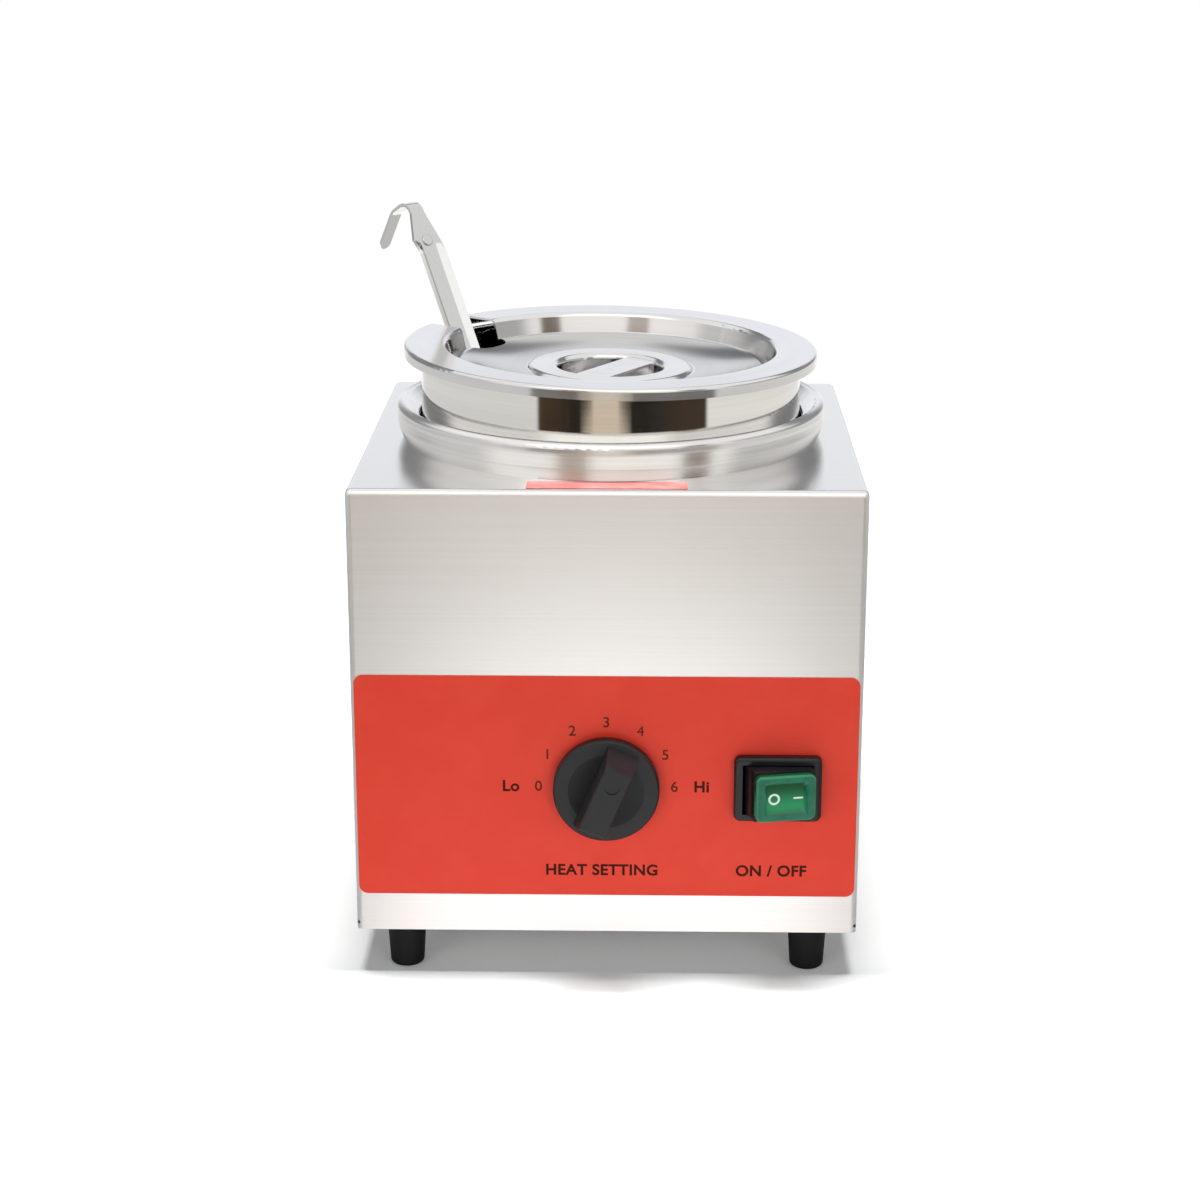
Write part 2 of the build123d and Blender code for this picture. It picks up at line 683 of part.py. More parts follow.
def ladle_handle():
    start = BOWL_DOWN - HANDLE_TAIL
    channel = Pos(0, 0, start) * extrude(channel_section(FLANGE_W, FLANGE_SPLAY), CHANNEL_TOP - start)
    flat_flange = (STRIP_W - WEB_W) / 2 / cos(radians(STRIP_SPLAY))
    fade = loft(
        [
            Pos(0, 0, CHANNEL_TOP) * fade_section(FLANGE_W, FLANGE_SPLAY),
            Pos(0, 0, STRIP_START) * fade_section(flat_flange, STRIP_SPLAY),
        ]
    )
    pip = Pos(-HANDLE_T / 2, 0, PIP_Z) * Rot(0, -90, 0) * peg(PIP_R, PIP_H)
    pip = fillet(pip.faces().sort_by(Axis.X)[0].edges(), PIP_H * 0.6)
    handle = channel + fade + hook_strip() + pip
    return LADLE_FRAME * (handle - bowl_ball(BOWL_R))


def bowl_ball(radius):
    """The ladle bowl's ball, in the ladle's frame."""
    return Pos(BOWL_OUT, 0, BOWL_DOWN) * Sphere(radius)


def ladle_bowl():
    upper = Pos(BOWL_OUT, 0, BOWL_DOWN) * Box(
        3 * BOWL_R, 3 * BOWL_R, 2 * BOWL_R, align=(Align.CENTER, Align.CENTER, Align.MIN)
    )
    return LADLE_FRAME * (bowl_ball(BOWL_R) - bowl_ball(BOWL_R - BOWL_SHEET) - upper)


# Control knob and thermostat -------------------------------------------------------------------------
def control_knob():
    face = KNOB_GAP + KNOB_EDGE_H
    dish_arc = ThreePointArc(
        (KNOB_DISH_R, face), (KNOB_DISH_R / 2, face - 0.75 * KNOB_DISH), (0, face - KNOB_DISH)
    )
    rim = Polyline(
        (0, face - KNOB_DISH),
        (0, KNOB_GAP),
        (KNOB_R, KNOB_GAP),
        (KNOB_R, face - KNOB_CHAMFER),
        (KNOB_R - KNOB_CHAMFER, face),
        (KNOB_DISH_R, face),
    )
    skirt = revolve(Plane.XZ * make_face(dish_arc.edges() + rim.edges()), Axis.Z)
    skirt -= peg(KNOB_HOLLOW_R, KNOB_HOLLOW, KNOB_GAP) - peg(KNOB_HUB_R, KNOB_HOLLOW, KNOB_GAP)
    base = Polyline(
        (-GRIP_BASE_W / 2, -GRIP_BASE_END),
        (GRIP_BASE_W / 2, -GRIP_BASE_END),
        (GRIP_BASE_W / 2, GRIP_BASE_TOP),
        (-GRIP_BASE_W / 2, GRIP_BASE_TOP),
        close=True,
    )
    front = Polyline(
        (-GRIP_W / 2, -GRIP_FRONT_END),
        (GRIP_W / 2, -GRIP_FRONT_END),
        (GRIP_W / 2, GRIP_FRONT_TOP),
        (-GRIP_W / 2, GRIP_FRONT_TOP),
        close=True,
    )
    low = KNOB_GAP + KNOB_HOLLOW
    high = KNOB_GAP + KNOB_DEPTH
    grip = loft([Pos(0, 0, low) * make_face(base.edges()), Pos(0, 0, high) * make_face(front.edges())])
    grip = fillet(grip.faces().sort_by(Axis.Z)[-1].edges(), GRIP_EDGE_R)
    grip &= peg(KNOB_R - KNOB_CHAMFER, 2 * KNOB_DEPTH)
    grip -= Pos(0, GRIP_FRONT_TOP / 2, 0) * peg(GRIP_PIP_R, GRIP_PIP, KNOB_DEPTH + KNOB_GAP - GRIP_PIP)
    knob = skirt + grip
    knob -= peg(SHAFT_R + SHAFT_CLEARANCE, SHAFT_IN_KNOB + SHAFT_CLEARANCE)
    return KNOB_FRAME * (Rot(0, 0, -KNOB_TURN) * knob)


def thermostat_shaft():
    inner = LABEL_T + SHEET + SHAFT_IN_BODY
    return KNOB_FRAME * peg(SHAFT_R, SHAFT_IN_KNOB + inner, -inner)


def thermostat_body():
    back = LABEL_T + SHEET
    body = Pos(0, 0, -back - THERMOSTAT_D / 2) * Box(THERMOSTAT_W, THERMOSTAT_H, THERMOSTAT_D)
    body += peg(SHAFT_HOLE_R - SCREW_GAP, back, -back)
    body -= peg(SHAFT_R + SHAFT_CLEARANCE, back + SHAFT_IN_BODY + SHAFT_CLEARANCE, -back - SHAFT_IN_BODY)
    for side in (-1, 1):
        hole = peg(SCREW_R + THREAD_GAP, SCREW_L, -SCREW_L)
        body -= Pos(0, side * THERMOSTAT_PITCH / 2, 0) * hole
    return KNOB_FRAME * body


def thermostat_screws():
    length = SCREW_L - THREAD_GAP
    return [KNOB_FRAME * (Pos(0, side * THERMOSTAT_PITCH / 2, 0) * pan_screw(length)) for side in (-1, 1)]


# Power switch ----------------------------------------------------------------------------------------
def switch_housing():
    bezel = extrude(RectangleRounded(BEZEL_W, BEZEL_H, BEZEL_R), BEZEL_T)
    bezel = fillet(bezel.faces().sort_by(Axis.Z)[-1].edges(), BEZEL_EDGE_R)
    body = Box(
        SWITCH_OPEN_W + 2 * SWITCH_WALL,
        SWITCH_OPEN_H + 2 * SWITCH_WALL,
        SWITCH_BACK,
        align=(Align.CENTER, Align.CENTER, Align.MAX),
    )
    pocket = Box(
        SWITCH_OPEN_W, SWITCH_OPEN_H, SWITCH_POCKET + BEZEL_T, align=(Align.CENTER, Align.CENTER, Align.MIN)
    )
    housing = bezel + body - Pos(0, 0, -SWITCH_POCKET) * pocket
    pivot = Pos(SWITCH_X, PIVOT_Y, SWITCH_Z) * Cylinder(PIVOT_R + THREAD_GAP, SWITCH_OPEN_H + 4 * SWITCH_WALL)
    return SWITCH_FRAME * housing - pivot


def switch_blades():
    blade = Box(BLADE_T, BLADE_W, BLADE_L, align=(Align.CENTER, Align.CENTER, Align.MAX))
    places = [Pos(step * BLADE_PITCH, 0, -SWITCH_BACK) for step in (-1.5, -0.5, 0.5, 1.5)]
    return [SWITCH_FRAME * (place * blade) for place in places]


def tilted(rocker):
    """Turns a piece of the rocker about its pivot to the pressed side, and puts it in place."""
    return Pos(SWITCH_X, PIVOT_Y, SWITCH_Z) * (Rot(0, 0, ROCKER_TILT) * rocker)


def rocker_base():
    half = LENS_W / 2
    depth = ROCKER_BASE_D + ROCKER_BACK
    plan = Circle(ROCKER_R) & Pos(0, ROCKER_BACK - depth / 2) * Rectangle(2 * ROCKER_R, depth)
    plan -= Pos(0, -sqrt(ROCKER_R**2 - half**2) - ROCKER_R) * Rectangle(2 * ROCKER_R, 2 * ROCKER_R)
    plan += Pos(0, -ROCKER_BASE_D / 2) * Rectangle(2 * half, ROCKER_BASE_D)
    base = extrude(plan, ROCKER_H / 2, both=True)
    return tilted(base + Cylinder(PIVOT_R, ROCKER_H + 2 * PIVOT_L))


def rocker_lens():
    lens = extrude(RectangleRounded(LENS_W, LENS_H, LENS_R), LENS_T)
    lens = fillet(lens.faces().sort_by(Axis.Z)[-1].edges(), LENS_EDGE_R)
    wide = LENS_W - 2 * LENS_RIM_W
    high = LENS_H - 2 * LENS_RIM_H
    mouth = RectangleRounded(wide, high, LENS_R / 2)
    floor = RectangleRounded(wide - 2 * WINDOW_SLOPE_W, high - 2 * WINDOW_SLOPE_H, LENS_R / 2)
    lens -= loft([Pos(0, 0, LENS_T - WINDOW_DEPTH) * floor, Pos(0, 0, LENS_T) * mouth])
    face = Plane(origin=(0, -ROCKER_BASE_D, 0), x_dir=(1, 0, 0), z_dir=(0, -1, 0))
    return tilted(face * lens)


# Labels ----------------------------------------------------------------------------------------------
def front_label():
    face = Plane(origin=(0, FRONT_Y, LABEL_Z + LABEL_H / 2), x_dir=(1, 0, 0), z_dir=(0, -1, 0))
    return face * extrude(RectangleRounded(LABEL_W, LABEL_H, LABEL_R), LABEL_T) - panel_cuts(2 * SHEET)


def caution_strip():
    front = FRONT_Y + FOLD_R + STRIP_LABEL_GAP
    back = -COLLAR_FOOT_R - STRIP_LABEL_GAP
    corner = min(STRIP_LABEL_R, (back - front) / 3)
    plate = extrude(RectangleRounded(STRIP_LABEL_W, back - front, corner), STRIP_LABEL_T)
    return Pos(0, (front + back) / 2, DECK_Z) * plate


# Heating ---------------------------------------------------------------------------------------------
def stack_cuts(gap):
    """What passes through the plates under the well: the element's legs, the bulb's tube and the cut-out."""
    legs = [Pos(side * ELEMENT_LEG_X, -ELEMENT_RING_R) for side in (-1, 1)]
    cuts = [leg * upright(ELEMENT_R + gap, FOOT_H, WELL_FLOOR_Z) for leg in legs]
    cuts.append(Pos(CAPILLARY_X, BULB_Y) * upright(CAPILLARY_R + gap, FOOT_H, WELL_FLOOR_Z))
    cuts.append(Pos(0, CUTOUT_Y) * upright(CUTOUT_R + gap, FOOT_H, WELL_FLOOR_Z))
    return cuts


def heating_element():
    axis_z = WELL_FLOOR_Z - ELEMENT_R
    ring = Pos(0, 0, axis_z) * Torus(ELEMENT_RING_R, ELEMENT_R)
    ring -= Pos(0, -ELEMENT_RING_R, axis_z) * Box(2 * ELEMENT_LEG_X, 4 * ELEMENT_R, 4 * ELEMENT_R)
    for side in (-1, 1):
        place = Pos(side * ELEMENT_LEG_X, -ELEMENT_RING_R)
        ring += place * (upright(ELEMENT_R, ELEMENT_LEG_Z, axis_z) + Pos(0, 0, axis_z) * Sphere(ELEMENT_R))
    return ring


def clamp_plate():
    plate = upright(CLAMP_R, CLAMP_Z, CLAMP_Z + CLAMP_T)
    for cut in stack_cuts(HOLE_GAP):
        plate -= cut
    for place in STUD_PLACES:
        plate -= Pos(*place) * upright(STUD_R + SCREW_GAP, FOOT_H, WELL_FLOOR_Z)
    return plate


def clamp_studs():
    low = SHIELD_Z - NUT_H - SHEET
    return [Pos(*place) * upright(STUD_R, low, WELL_FLOOR_Z) for place in STUD_PLACES]


def clamp_nuts():
    nut = hex_nut(NUT_W, NUT_H, STUD_R + THREAD_GAP)
    return [
        Pos(place.X, place.Y, seat - NUT_H) * nut for place in STUD_PLACES for seat in (CLAMP_Z, SHIELD_Z)
    ]


def floor_insulation():
    wool = upright(CLAMP_R - HOLE_GAP, WOOL_Z, CLAMP_Z)
    for cut in stack_cuts(HOLE_GAP):
        wool -= cut
    for place in STUD_PLACES:
        wool -= Pos(*place) * upright(NUT_W / sqrt(3) + SCREW_GAP, WOOL_Z, CLAMP_Z)
    return wool


def heat_shield():
    shield = upright(CLAMP_R, SHIELD_Z, WOOL_Z)
    for cut in stack_cuts(HOLE_GAP):
        shield -= cut
    for place in STUD_PLACES:
        shield -= Pos(*place) * upright(STUD_R + SCREW_GAP, FOOT_H, WELL_FLOOR_Z)
    return shield


def wall_insulation():
    inner = WELL_R + WELL_SHEET + WELD_GAP
    outer = min(CASE_W, CASE_D) / 2 - SHEET - WALL_WOOL_GAP
    low = WELL_FLOOR_Z + WELL_CORNER_R
    high = DECK_Z - WALL_WOOL_TOP_GAP
    return upright(outer, low, high) - upright(inner, low, high)


def thermal_cutout():
    can = upright(CUTOUT_R, WELL_FLOOR_Z - CUTOUT_H, WELL_FLOOR_Z)
    pins = Pos(0, 0, 0) * Box(BLADE_T, BLADE_W, BLADE_L, align=(Align.CENTER, Align.CENTER, Align.MAX))
    for side in (-1, 1):
        can += Pos(side * BLADE_PITCH / 2, 0, WELL_FLOOR_Z - CUTOUT_H) * pins
    return Pos(0, CUTOUT_Y) * can


def sensing_bulb():
    """The thermostat's bulb under the well's floor, with its thin tube run back to the thermostat."""
    bulb_z = WELL_FLOOR_Z - BULB_R
    bulb = Pos(0, BULB_Y, bulb_z) * Rot(0, 90, 0) * Cylinder(BULB_R, BULB_L)
    low = (SHIELD_Z + FOOT_H) / 2 + CAPILLARY_BEND * 2
    back_y = FRONT_Y + SHEET + THERMOSTAT_D
    entry_x = THERMOSTAT_W / 4
    route = FilletPolyline(
        (BULB_L / 2, BULB_Y, bulb_z),
        (CAPILLARY_X, BULB_Y, bulb_z),
        (CAPILLARY_X, BULB_Y, low),
        (entry_x, back_y + 3 * CAPILLARY_BEND, low),
        (entry_x, back_y + 1.5 * CAPILLARY_BEND, CONTROL_Z - THERMOSTAT_H / 4),
        (entry_x, back_y, CONTROL_Z - THERMOSTAT_H / 4),
        radius=[CAPILLARY_BEND, CAPILLARY_BEND, CAPILLARY_BEND, CAPILLARY_BEND / 4],
    )
    start = Plane(origin=route @ 0, z_dir=route % 0)
    return bulb + sweep(start * Circle(CAPILLARY_R), path=route)


# Rear fittings and terminals -------------------------------------------------------------------------
def cable_gland():
    body = extrude(RegularPolygon(GLAND_HEX / sqrt(3), 6), GLAND_HEX_H)
    body += peg(GLAND_THREAD_R, GLAND_TAIL, -GLAND_TAIL)
    dome = peg(GLAND_DOME_R, GLAND_REACH - GLAND_HEX_H, GLAND_HEX_H)
    dome = fillet(dome.faces().sort_by(Axis.Z)[-1].edges(), GLAND_BORE_R * 0.8)
    return GLAND_FRAME * (body + dome - peg(GLAND_BORE_R, GLAND_REACH + GLAND_TAIL, -GLAND_TAIL))


def gland_locknut():
    nut = hex_nut(GLAND_HEX, LOCKNUT_H, GLAND_THREAD_R + THREAD_GAP)
    return GLAND_FRAME * (Pos(0, 0, -SHEET - LOCKNUT_H) * nut)


def terminal_block():
    body = Box(TERMINAL_W, TERMINAL_D, TERMINAL_H, align=(Align.CENTER, Align.CENTER, Align.MIN))
    for step in (-1, 0, 1):
        at = Pos(step * TERMINAL_W / 3, 0, TERMINAL_H)
        body -= at * Box(TERMINAL_W / 3 - 2 * TERMINAL_WALL, 2 * TERMINAL_D, TERMINAL_H / 2)
    return Pos(TERMINAL_X, TERMINAL_Y, BASE_PLATE_TOP) * body


def earth_stud():
    stud = Pos(EARTH_X, EARTH_Y, BASE_PLATE_TOP) * peg(SCREW_R, EARTH_L)
    return stud + Pos(EARTH_X, EARTH_Y, BASE_PLATE_TOP) * peg(HEAD_R, SHEET)


def earth_nut():
    nut = hex_nut(NUT_W, NUT_H, SCREW_R + THREAD_GAP)
    return Pos(EARTH_X, EARTH_Y, BASE_PLATE_TOP + SHEET) * nut


NODES = {
    "body_shell": body_shell,
    "rear_panel": rear_panel,
    "rear_panel_screws": rear_screws,
    "base_plate": base_plate,
    "foot_screws": foot_screws,
    "foot_nuts": foot_nuts,
    "collar_ring": collar_ring,
    "well_pan": well_pan,
    "pot": pot,
    "lid": lid,
    "lid_strap": lid_strap,
    "ladle_handle": ladle_handle,
    "ladle_bowl": ladle_bowl,
    "control_knob": control_knob,
    "thermostat_shaft": thermostat_shaft,
    "thermostat_body": thermostat_body,
    "thermostat_screws": thermostat_screws,
    "switch_housing": switch_housing,
    "switch_blades": switch_blades,
    "rocker_base": rocker_base,
    "rocker_lens": rocker_lens,
    "front_label": front_label,
    "caution_strip": caution_strip,
    "heating_element": heating_element,
    "clamp_plate": clamp_plate,
    "clamp_studs": clamp_studs,
    "clamp_nuts": clamp_nuts,
    "floor_insulation": floor_insulation,
    "heat_shield": heat_shield,
    "wall_insulation": wall_insulation,
    "thermal_cutout": thermal_cutout,
    "sensing_bulb": sensing_bulb,
    "cable_gland": cable_gland,
    "gland_locknut": gland_locknut,
    "terminal_block": terminal_block,
    "earth_stud": earth_stud,
    "earth_nut": earth_nut,
}


def main():
    os.makedirs("parts", exist_ok=True)
    for name, make in NODES.items():
        made = make()
        solids = [solid for piece in (made if isinstance(made, list) else [made]) for solid in piece.solids()]
        export_step(solids[0] if len(solids) == 1 else Compound(children=solids), f"parts/{name}.step")
    for name, place in FOOT_PLACES.items():
        export_step(foot(place).solid(), f"parts/{name}.step")


main()
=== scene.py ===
from math import cos, pi, radians, sin

import bmesh
import bpy
from mathutils import Matrix, Vector


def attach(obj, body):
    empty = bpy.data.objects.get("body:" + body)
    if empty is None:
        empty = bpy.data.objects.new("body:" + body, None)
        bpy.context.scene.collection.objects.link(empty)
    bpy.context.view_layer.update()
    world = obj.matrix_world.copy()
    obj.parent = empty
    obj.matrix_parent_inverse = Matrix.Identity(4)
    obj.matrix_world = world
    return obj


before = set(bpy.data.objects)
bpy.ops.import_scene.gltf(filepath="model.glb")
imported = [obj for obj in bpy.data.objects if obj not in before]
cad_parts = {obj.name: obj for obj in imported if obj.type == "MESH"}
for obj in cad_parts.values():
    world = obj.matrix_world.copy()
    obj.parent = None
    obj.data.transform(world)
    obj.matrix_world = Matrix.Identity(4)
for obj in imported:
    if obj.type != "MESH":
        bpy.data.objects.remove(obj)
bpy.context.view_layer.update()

MM = 0.001

# Camera ----------------------------------------------------------------------------------------------
CAMERA_PLACE = (0.0172, -1.1205, 0.4775)
CAMERA_PITCH = 73.2
CAMERA_YAW = 1.131
CAMERA_LENS = 74.83
SENSOR_WIDTH = 36.0

# Table and light, in metres and watts ----------------------------------------------------------------
TABLE_RADIUS = 0.95
TABLE_FAR = 0.70
TABLE_NEAR = 0.80
TABLE_GLOW = 0.08
TABLE_EDGE_GLOW = 0.5
TABLE_EDGE = (0.40, 0.80)
TABLE_FADE = (0.5, 0.9)
TABLE_SHEEN = 0.52
SHEEN_RISE = (0.05, 0.32)
SHEEN_FALL = (0.40, 0.82)
TABLE_SIDE = 0.50
TABLE_MIDDLE = (0.070, 0.155)
CASE_EDGE = (0.100, 0.125)
SKY_STRENGTH = 0.165
ROOM_STRENGTH = 1.15
LAMP_AIM = (0.0, 0.0, 0.15)
TOP_LAMP = {"place": (0.0, -0.055, 1.6), "size": (0.8, 0.17), "power": 31.5}
SIDE_LAMP = {"size": (0.9, 0.6), "power": 5.8}
SIDE_LAMP_PLACE = (0.9, -1.5, 0.45)

# The room in the gloss: azimuths in degrees from straight ahead, heights as the sine of their angle --
HORIZON = (-0.04, 0.02)
AHEAD = (-3.0, 3.0)
AT_SIDE = (58.0, 75.0)
PAST_SIDE = (95.0, 125.0)
BEHIND = (150.0, 168.0)
CUPBOARDS = (-43.0, 60.0)
CUPBOARD_TOP = (-0.19, -0.13)
GAP_MIDDLE = -2.0
GAP_HALF = 7.5
GAP_FLARE = 7.5
GAP_WAIST = (-0.236, -0.205)
CEILING = (0.30, 0.46)
CEILING_LIGHT = 0.92
SOFTBOX_LIGHT = 1.35
SOFTBOX = {"across": (-50.0, 45.0), "up": (0.42, 0.92)}
DUSK_UP = (0.36, 0.60)

# Steelwork, in metres --------------------------------------------------------------------------------
DECK_EDGE = (0.2180, 0.2198)
DECK_POLISH = 0.16
COLLAR_SLOPE = (0.0850, 0.0970)
COLLAR_SLOPE_EASE = 0.0048
COLLAR_TUCK = (0.2150, 0.2330)
COLLAR_TUCK_EASE = 0.0062
LID_FLOOR = (0.0385, 0.0700)
LID_HOLLOW_START = 0.0400
LID_HOLLOW_RUN = 0.0290
LID_HOLLOW = 6.0
FLOOR_MATT = 0.04
# painted shade: how far the lid's floor colour is darkened towards black
FLOOR_PAINTED_SHADE = 0.22

# Label and switch, in millimetres --------------------------------------------------------------------
LABEL_FACE = -110.4
KNOB_Z = 88.0
SCALE_RADIUS = 29.4
SCALE_STEP = 30.0
DIGIT_HEIGHT = 4.6
DIGIT_WEIGHT = 0.08
WORD_HEIGHT = 4.9
WORD_WEIGHT = 0.20
CAPITAL_SHARE = 0.7
LETTER_SPACE = 1.06
INK_HEIGHT = 0.05
ROCKER_PIVOT = (74.0, -109.0, 88.5)
ROCKER_TILT = 11.0
WINDOW_FRONT = 14.3
MARK_RING = (-4.9, -0.5)
MARK_RING_R = 2.1
MARK_DASH = (3.9, 7.5, -0.4)
MARK_STROKE = 0.95


def tone(red, green, blue):
    """A colour given as it shows on a screen, 0 to 255, turned to the linear values that nodes take."""
    shares = [channel / 255.0 for channel in (red, green, blue)]
    linear = [s / 12.92 if s <= 0.04045 else ((s + 0.055) / 1.055) ** 2.4 for s in shares]
    return (*linear, 1.0)


# Finishes --------------------------------------------------------------------------------------------
class Value:
    """A number or link inside one finish; arithmetic on it adds the Math nodes it needs."""

    def __init__(self, finish, socket):
        self.finish = finish
        self.socket = socket

    def math(self, operation, *others):
        inputs = {index: value for index, value in enumerate((self, *others))}
        return self.finish.node("Math", {"operation": operation}, inputs)

    def __add__(self, other):
        return self.math("ADD", other)

    def __sub__(self, other):
        return self.math("SUBTRACT", other)

    def __rsub__(self, other):
        return self.finish.node("Math", {"operation": "SUBTRACT"}, {0: other, 1: self})

    def __mul__(self, other):
        return self.math("MULTIPLY", other)

    def __pow__(self, other):
        return self.math("POWER", other)

    __radd__ = __add__
    __rmul__ = __mul__

    def between(self, low, high):
        """0 below low, 1 above high, and smooth between them."""
        settings = {"interpolation_type": "SMOOTHSTEP"}
        return self.finish.node("MapRange", settings, {0: self, 1: low, 2: high, 3: 0.0, 4: 1.0})

    def band(self, low, high, soft):
        """1 from low to high and 0 outside, over a soft edge."""
        return self.between(low - soft, low + soft) * (1.0 - self.between(high - soft, high + soft))

    def scaled(self, low, high):
        """The value's 0 to 1 spread over low to high."""
        return self * (high - low) + low


class Finish:
    """One material, or the sky: its nodes, and the one method that makes them."""

    def __init__(self, owner, shader, end, constants=()):
        owner.use_nodes = True
        self.owner = owner
        self.tree = owner.node_tree
        self.tree.nodes.clear()
        self.shader = self.tree.nodes.new(shader)
        self.tree.links.new(self.shader.outputs[0], self.tree.nodes.new(end).inputs[0])
        for name, value in dict(constants).items():
            self.shader.inputs[name].default_value = value

    def node(self, kind, settings=(), inputs=(), output=0):
        made = self.tree.nodes.new("ShaderNode" + kind)
        for name, value in dict(settings).items():
            setattr(made, name, value)
        for name, value in dict(inputs).items():
            self.connect(made.inputs[name], value)
        return Value(self, made.outputs[output])

    def connect(self, socket, value):
        if isinstance(value, Value):
            self.tree.links.new(value.socket, socket)
        else:
            socket.default_value = value

    def feed(self, name, value):
        self.connect(self.shader.inputs[name], value)

    def place(self):
        """Where the surface is, in the row's frame, in metres."""
        return self.node("TexCoord", output="Object")

    def parts(self, vector):
        return [self.node("SeparateXYZ", (), {0: vector}, axis) for axis in range(3)]

    def vector(self, x, y, z):
        return self.node("CombineXYZ", (), {0: x, 1: y, 2: z})

    def noise(self, vector, scale, detail=2.0, roughness=0.5):
        inputs = {"Vector": vector, "Scale": scale, "Detail": detail, "Roughness": roughness}
        return self.node("TexNoise", (), inputs)

    def blend(self, share, low, high):
        """Two colours mixed by a 0 to 1 share."""
        return self.node("Mix", {"data_type": "RGBA"}, {0: share, 6: low, 7: high}, 2)

    def bump(self, height, distance, strength=1.0, after=None):
        inputs = {"Height": height, "Distance": distance, "Strength": strength}
        if after is not None:
            inputs["Normal"] = after
        return self.node("Bump", (), inputs)


def surface(name, **constants):
    """A new material with these values set on its main shader."""
    named = {key.replace("_", " ").title().replace("Ior", "IOR"): value for key, value in constants.items()}
    return Finish(bpy.data.materials.new(name), "ShaderNodeBsdfPrincipled", "ShaderNodeOutputMaterial", named)


def round_about(finish, x, y):
    """The distance from the pot's axis and the angle about it."""
    radius = (x * x + y * y) ** 0.5
    angle = y.math("ARCTAN2", x)
    return radius, angle


def brushed_sheet(name, colour, darker, roughness, grain, grain_axis="X"):
    """Stainless with a straight fine grain and faint cloudy patches, polished finer from the deck up."""
    steel = surface(name, metallic=1.0)
    x, y, z = steel.parts(steel.place())
    stretch = {"X": (6.0, 900.0, 900.0), "Z": (900.0, 900.0, 6.0)}[grain_axis]
    grained = steel.vector(x * stretch[0], y * stretch[1], z * stretch[2])
    lines = steel.noise(grained, 1.0, 3.0, 0.6)
    clouds = steel.noise(steel.place(), 9.0, 3.0, 0.55)
    shade = steel.blend((lines * 0.55 + clouds * 0.45).between(0.3, 0.7), darker, colour)
    steel.feed("Base Color", shade)
    matt = (clouds * 0.5 + lines * 0.5).scaled(roughness - 0.06, roughness + 0.06)
    steel.feed("Roughness", matt - z.between(*DECK_EDGE) * DECK_POLISH)
    steel.feed("Normal", steel.bump(lines, 0.00004, grain))
    return steel.owner


def spun_steel(name, colour, darker, roughness, grain, pitch=1400.0, stretch=0.0, relief=None):
    """Stainless turned on a lathe: fine rings about the axis, which spread its highlights across them."""
    steel = surface(name, metallic=1.0, anisotropic=stretch, anisotropic_rotation=0.25)
    x, y, z = steel.parts(steel.place())
    radius, angle = round_about(steel, x, y)
    rings = steel.noise(steel.vector(radius * pitch, angle * 1.2, z * pitch), 1.0, 3.0, 0.6)
    wide = steel.noise(steel.vector(radius * pitch * 0.12, angle * 0.5, z * pitch * 0.12), 1.0, 2.0, 0.5)
    clouds = steel.noise(steel.place(), 14.0, 2.0, 0.5)
    shade = steel.blend((rings * 0.4 + wide * 0.6).between(0.3, 0.7), darker, colour)
    fine = steel.bump(rings, 0.00003, grain)
    coarse = steel.bump(wide, 0.0001, grain * 0.5, fine)
    rough = (rings * 0.4 + clouds * 0.6).scaled(roughness * 0.8, roughness * 1.2)
    if relief is not None:
        height, floor = relief(radius, z)
        coarse = steel.bump(height, 1.0, 1.0, coarse)
        if floor is not None:
            rough = rough + floor * FLOOR_MATT
            # painted shade: the lid's recessed floor is darkened in its base colour
            shade = steel.blend(floor * FLOOR_PAINTED_SHADE, shade, (0.0, 0.0, 0.0, 1.0))
    steel.feed("Base Color", shade)
    steel.feed("Roughness", rough)
    steel.feed("Normal", coarse)
    return steel.owner


def collar_relief(radius, z):
    """Eases the collar's inner slope and the tuck at its foot, as the planished sheet does."""
    slope = radius.between(*COLLAR_SLOPE) * COLLAR_SLOPE_EASE
    tuck = z.between(*COLLAR_TUCK) * COLLAR_TUCK_EASE
    return slope * -1.0 - tuck, None


def dish_relief(radius, z):
    """The lid's floor: rougher than its rim, with painted shade darkening its colour, and hollowed between
    the boss and the wall.
    """
    run = (radius - LID_HOLLOW_START).math("MAXIMUM", 0.0).math("MINIMUM", LID_HOLLOW_RUN)
    return run * run * LID_HOLLOW, radius.band(*LID_FLOOR, 0.0006)


def cast_surface(name, colour, lighter, roughness, grain, depth, **constants):
    """Moulded plastic or rubber with a fine pebbled skin and slight wear."""
    skin = surface(name, **constants)
    pebbles = skin.noise(skin.place(), grain, 3.0, 0.6)
    clouds = skin.noise(skin.place(), 60.0, 3.0, 0.5)
    skin.feed("Base Color", skin.blend(clouds.between(0.35, 0.75), colour, lighter))
    skin.feed("Roughness", (clouds * 0.6 + pebbles * 0.4).scaled(roughness - 0.07, roughness + 0.07))
    skin.feed("Normal", skin.bump(pebbles, depth, 0.6))
    return skin.owner


